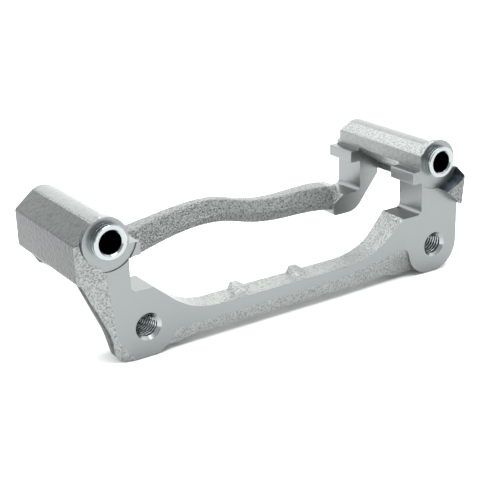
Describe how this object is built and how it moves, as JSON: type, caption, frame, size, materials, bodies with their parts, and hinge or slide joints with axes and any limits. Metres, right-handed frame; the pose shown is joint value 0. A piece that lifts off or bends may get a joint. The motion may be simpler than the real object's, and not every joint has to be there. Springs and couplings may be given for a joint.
{
  "type": "brake caliper bracket",
  "caption": "One-piece cast bracket that carries a floating brake caliper: ears with threaded holes, blind guide-pin bores in round barrels, bridges over the disc and pad notches.",
  "frame": {"origin": "on the milled mounting face, midway between the axes of the two threaded holes", "axes": "+X along the line through the threaded holes, towards the ear whose hole is almost under its guide pin; +Y from the knuckle outboard, parallel to the holes and pins; +Z away from the axle, towards the guide pins"},
  "size_m": [0.254, 0.0889, 0.0828],
  "materials": {
    "plated_iron": "zinc-plated casting, satin"
  },
  "bodies": {
    "root": {"caliper_bracket": "plated_iron"}
  },
  "joints": []
}
